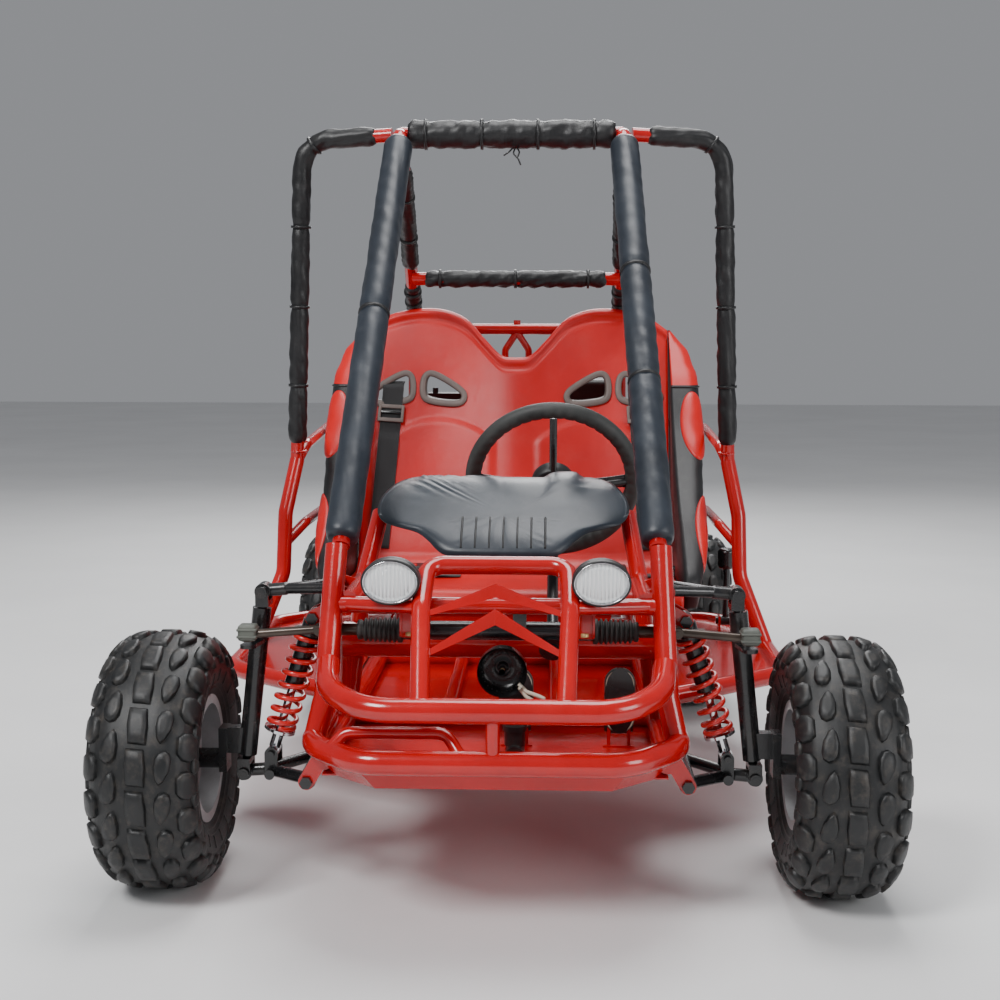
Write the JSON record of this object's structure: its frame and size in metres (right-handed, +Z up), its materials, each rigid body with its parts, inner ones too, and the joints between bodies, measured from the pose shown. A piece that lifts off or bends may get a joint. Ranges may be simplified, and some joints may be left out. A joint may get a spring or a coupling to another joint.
{
  "type": "off-road go-kart",
  "caption": "Two-seat off-road go-kart: tube frame with padded roll cage, bench seat, rack steering, sprung front arms, rear swing arm with engine and live axle",
  "frame": {"origin": "on the ground under the middle of the kart's length and width", "axes": "+Z up, the kart faces -Y, +X is the driver's left"},
  "size_m": [1.08, 1.552, 1.139],
  "materials": {
    "red_frame": "gloss powder coat",
    "black_metal": "satin black",
    "red_plastic": "satin moulded",
    "black_plastic": "satin moulded",
    "foam": "matte closed-cell foam",
    "webbing": "woven",
    "tyre": "matte",
    "rubber": "matte",
    "silver": "satin silver paint",
    "steel": "zinc plated",
    "casting": "cast",
    "lens": "clear ribbed",
    "spring_red": "gloss"
  },
  "bodies": {
    "chassis": {"main_frame": "red_frame", "front_bumper": "red_frame", "floor_pan": "red_frame", "side_frames": "red_frame", "rear_frame": "red_frame", "roll_cage": "red_frame", "side_hoops": "red_frame", "cage_foam": "foam", "frame_bolts": "black_metal", "seat_shell": "red_plastic", "seat_bolsters": "black_plastic", "seat_belts": "webbing", "dash": "black_plastic", "headlamp_shells": "black_plastic", "headlamp_lenses": "lens", "horn": "black_metal", "column_bearing": "steel", "rack_housing": "casting", "bellows_left": "rubber", "bellows_right": "rubber", "front_shock_bodies": "steel", "rear_shock_body": "steel", "rear_spring": "spring_red", "spring_left": "spring_red", "spring_right": "spring_red", "master_cylinder": "black_metal", "fuel_tank": "black_plastic", "battery": "black_plastic"},
    "steering": {"steering_wheel": "rubber", "steering_shaft": "black_metal"},
    "rack": {"rack_bar": "steel"},
    "swing_arm": {"swing_arm": "black_metal", "engine": "casting", "intake": "black_plastic", "exhaust": "black_metal", "chain": "steel"},
    "rear_axle": {"rear_axle": "steel", "rear_rims": "silver", "rear_tyres": "tyre"},
    "output_sprocket": {"output_sprocket": "steel"},
    "rear_shock_rod": {"rear_shock_rod": "steel"},
    "brake_pedal": {"brake_pedal": "rubber"},
    "throttle_pedal": {"throttle_pedal": "rubber"},
    "shift_lever": {"shift_lever": "black_metal"},
    "lower_arm_left": {"lower_arm_left": "black_metal"},
    "upper_arm_left": {"upper_arm_left": "black_metal"},
    "kingpin_left": {"kingpin_left": "black_metal"},
    "knuckle_left": {"knuckle_left": "black_metal"},
    "front_wheel_left": {"front_rim_left": "silver", "front_tyre_left": "tyre"},
    "tie_rod_left": {"tie_rod_left": "steel"},
    "shock_rod_left": {"shock_rod_left": "steel"},
    "lower_arm_right": {"lower_arm_right": "black_metal"},
    "upper_arm_right": {"upper_arm_right": "black_metal"},
    "kingpin_right": {"kingpin_right": "black_metal"},
    "knuckle_right": {"knuckle_right": "black_metal"},
    "front_wheel_right": {"front_rim_right": "silver", "front_tyre_right": "tyre"},
    "tie_rod_right": {"tie_rod_right": "steel"},
    "shock_rod_right": {"shock_rod_right": "steel"}
  },
  "joints": [
    {"name": "steering", "type": "hinge", "parent": "chassis", "child": "steering", "pos_m": [0.074, -0.2, 0.541], "axis": [0, -0.8996, -0.4368], "range_deg": [-93, 93]},
    {"name": "rack_slide", "type": "slide", "parent": "chassis", "child": "rack", "axis": [1, 0, 0], "range_m": [-0.0197, 0.0197], "deforming": ["bellows_left", "bellows_right"]},
    {"name": "lower_arm_left", "type": "hinge", "parent": "chassis", "child": "lower_arm_left", "pos_m": [0.257, -0.54, 0.171], "axis": [0, -1, 0], "range_deg": [-8, 12], "stiffness_Nm_per_rad": 250, "springref_deg": -6.3},
    {"name": "upper_arm_left", "type": "hinge", "parent": "chassis", "child": "upper_arm_left", "pos_m": [0.228, -0.54, 0.427], "axis": [0, -1, 0], "range_deg": [-8, 12]},
    {"name": "kingpin_left", "type": "hinge", "parent": "lower_arm_left", "child": "kingpin_left", "pos_m": [0.355, -0.54, 0.163], "axis": [0, -1, 0], "range_deg": [-12, 8]},
    {"name": "steer_left", "type": "hinge", "parent": "kingpin_left", "child": "knuckle_left", "pos_m": [0.355, -0.54, 0.163], "axis": [-0.1126, 0, 0.9936], "range_deg": [-25, 25]},
    {"name": "front_wheel_left", "type": "hinge", "parent": "knuckle_left", "child": "front_wheel_left", "pos_m": [0.465, -0.54, 0.18], "axis": [1, 0, 0], "continuous": true},
    {"name": "tie_rod_left", "type": "hinge", "parent": "rack", "child": "tie_rod_left", "pos_m": [0.242, -0.585, 0.374], "axis": [0, -1, 0], "range_deg": [-8, 12]},
    {"name": "shock_left", "type": "slide", "parent": "chassis", "child": "shock_rod_left", "axis": [-0.2983, 0, 0.9545], "range_m": [-0.009, 0.0133], "deforming": ["spring_left"]},
    {"name": "lower_arm_right", "type": "hinge", "parent": "chassis", "child": "lower_arm_right", "pos_m": [-0.257, -0.54, 0.171], "axis": [0, 1, 0], "range_deg": [-8, 12], "stiffness_Nm_per_rad": 250, "springref_deg": -6.3},
    {"name": "upper_arm_right", "type": "hinge", "parent": "chassis", "child": "upper_arm_right", "pos_m": [-0.228, -0.54, 0.427], "axis": [0, 1, 0], "range_deg": [-8, 12]},
    {"name": "kingpin_right", "type": "hinge", "parent": "lower_arm_right", "child": "kingpin_right", "pos_m": [-0.355, -0.54, 0.163], "axis": [0, 1, 0], "range_deg": [-12, 8]},
    {"name": "steer_right", "type": "hinge", "parent": "kingpin_right", "child": "knuckle_right", "pos_m": [-0.355, -0.54, 0.163], "axis": [0.1126, 0, 0.9936], "range_deg": [-25, 25]},
    {"name": "front_wheel_right", "type": "hinge", "parent": "knuckle_right", "child": "front_wheel_right", "pos_m": [-0.465, -0.54, 0.18], "axis": [1, 0, 0], "continuous": true},
    {"name": "tie_rod_right", "type": "hinge", "parent": "rack", "child": "tie_rod_right", "pos_m": [-0.242, -0.585, 0.374], "axis": [0, 1, 0], "range_deg": [-8, 12]},
    {"name": "shock_right", "type": "slide", "parent": "chassis", "child": "shock_rod_right", "axis": [0.2983, 0, 0.9545], "range_m": [-0.009, 0.0133], "deforming": ["spring_right"]},
    {"name": "swing_arm", "type": "hinge", "parent": "chassis", "child": "swing_arm", "pos_m": [0, 0.3, 0.215], "axis": [1, 0, 0], "range_deg": [-4, 6], "stiffness_Nm_per_rad": 1200, "springref_deg": -5.16},
    {"name": "rear_shock", "type": "slide", "parent": "chassis", "child": "rear_shock_rod", "axis": [0, -0.0698, 0.9976], "range_m": [-0.0128, 0.0191], "deforming": ["rear_spring"]},
    {"name": "rear_axle", "type": "hinge", "parent": "swing_arm", "child": "rear_axle", "pos_m": [0, 0.54, 0.18], "axis": [1, 0, 0], "continuous": true},
    {"name": "output_sprocket", "type": "hinge", "parent": "swing_arm", "child": "output_sprocket", "pos_m": [0.095, 0.56, 0.3], "axis": [1, 0, 0], "continuous": true},
    {"name": "brake_pedal", "type": "hinge", "parent": "chassis", "child": "brake_pedal", "pos_m": [0.025, -0.53, 0.228], "axis": [1, 0, 0], "range_deg": [0, 18], "stiffness_Nm_per_rad": 4, "springref_deg": -5.73},
    {"name": "throttle_pedal", "type": "hinge", "parent": "chassis", "child": "throttle_pedal", "pos_m": [0.167, -0.53, 0.228], "axis": [1, 0, 0], "range_deg": [0, 18], "stiffness_Nm_per_rad": 2, "springref_deg": -5.73},
    {"name": "shift_lever", "type": "hinge", "parent": "chassis", "child": "shift_lever", "pos_m": [0.393, 0.15, 0.25], "axis": [1, 0, 0], "range_deg": [-15, 15]}
  ],
  "couplings": [
    {"joint": "rack_slide", "follows": "steering", "m_per_rad": -0.012},
    {"joint": "upper_arm_left", "follows": "lower_arm_left", "ratio": 1},
    {"joint": "kingpin_left", "follows": "lower_arm_left", "ratio": -1},
    {"joint": "tie_rod_left", "follows": "lower_arm_left", "ratio": 1},
    {"joint": "shock_left", "follows": "lower_arm_left", "m_per_rad": 0.06258},
    {"joint": "steer_left", "follows": "steering", "ratio": -0.26846},
    {"joint": "upper_arm_right", "follows": "lower_arm_right", "ratio": 1},
    {"joint": "kingpin_right", "follows": "lower_arm_right", "ratio": -1},
    {"joint": "tie_rod_right", "follows": "lower_arm_right", "ratio": 1},
    {"joint": "shock_right", "follows": "lower_arm_right", "m_per_rad": 0.06258},
    {"joint": "steer_right", "follows": "steering", "ratio": -0.26846},
    {"joint": "rear_shock", "follows": "swing_arm", "m_per_rad": 0.18047},
    {"joint": "output_sprocket", "follows": "rear_axle", "ratio": 3.3636}
  ]
}
